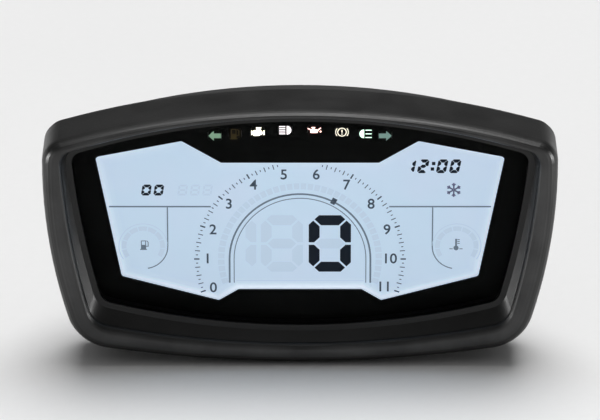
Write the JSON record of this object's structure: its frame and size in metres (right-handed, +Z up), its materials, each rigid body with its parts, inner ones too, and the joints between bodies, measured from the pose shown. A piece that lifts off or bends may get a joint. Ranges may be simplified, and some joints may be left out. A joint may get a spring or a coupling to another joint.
{
  "type": "motorcycle instrument cluster",
  "caption": "Motorcycle instrument cluster: wide liquid-crystal dash under a clear lens, with a row of warning lights above it, in a sealed black housing on rubber-mounted bushes.",
  "frame": {"origin": "midway between the two upper mounting bushes, on the plane of their rear faces where they meet the bracket", "axes": "+X to the rider's right, +Y away from the rider along the bushes, +Z up the face of the display"},
  "size_m": [0.1694, 0.052, 0.0905],
  "materials": {
    "housing": "satin",
    "clear_plastic": "gloss",
    "seal_rubber": "matte",
    "mask_black": "satin",
    "green_window": "gloss",
    "amber_window": "gloss",
    "white_window": "gloss",
    "red_window": "gloss",
    "white_film": "satin",
    "white_plastic": "satin",
    "lamp": "satin",
    "display_film": "satin",
    "display_glass": "polished",
    "light_guide_plastic": "gloss",
    "flex_film": "satin",
    "circuit_board": "satin",
    "chip_resin": "matte",
    "ferrite": "matte",
    "passive_ceramic": "matte",
    "can_metal": "satin",
    "socket_plastic": "satin",
    "contact_metal": "satin",
    "zinc_steel": "satin",
    "black_steel": "satin",
    "membrane": "matte",
    "label_film": "satin"
  },
  "bodies": {
    "root": {"front_bezel": "housing", "rear_case": "housing", "lens_spacer": "housing", "lens": "clear_plastic", "lens_gasket": "seal_rubber", "case_gasket": "seal_rubber", "socket_seal": "seal_rubber", "lcd_cushion": "seal_rubber", "vent_cap": "seal_rubber", "isolator_grommets": "seal_rubber", "dial_mask": "mask_black", "tell_tale_windows_green": "green_window", "tell_tale_windows_amber": "amber_window", "tell_tale_window_white": "white_window", "tell_tale_window_red": "red_window", "tell_tale_diffuser": "white_film", "diffuser_sheet": "white_film", "reflector_sheet": "white_film", "tell_tale_light_box": "white_plastic", "backlight_tray": "white_plastic", "flex_connector": "white_plastic", "tell_tale_leds": "lamp", "backlight_leds": "lamp", "lcd_front_polarizer": "display_film", "lcd_rear_polarizer": "display_film", "lcd_front_glass": "display_glass", "lcd_rear_glass": "display_glass", "light_guide": "light_guide_plastic", "lcd_flex_cable": "flex_film", "main_board": "circuit_board", "lcd_driver_chip": "chip_resin", "microcontroller": "chip_resin", "display_driver": "chip_resin", "bus_transceiver": "chip_resin", "power_regulator": "chip_resin", "power_inductor": "ferrite", "chip_passives": "passive_ceramic", "smoothing_capacitors": "can_metal", "quartz_crystal": "can_metal", "loom_socket": "socket_plastic", "loom_pins": "contact_metal", "board_screws": "zinc_steel", "mount_bushes": "zinc_steel", "case_screws": "black_steel", "vent_membrane": "membrane", "rating_label": "label_film"}
  },
  "joints": []
}
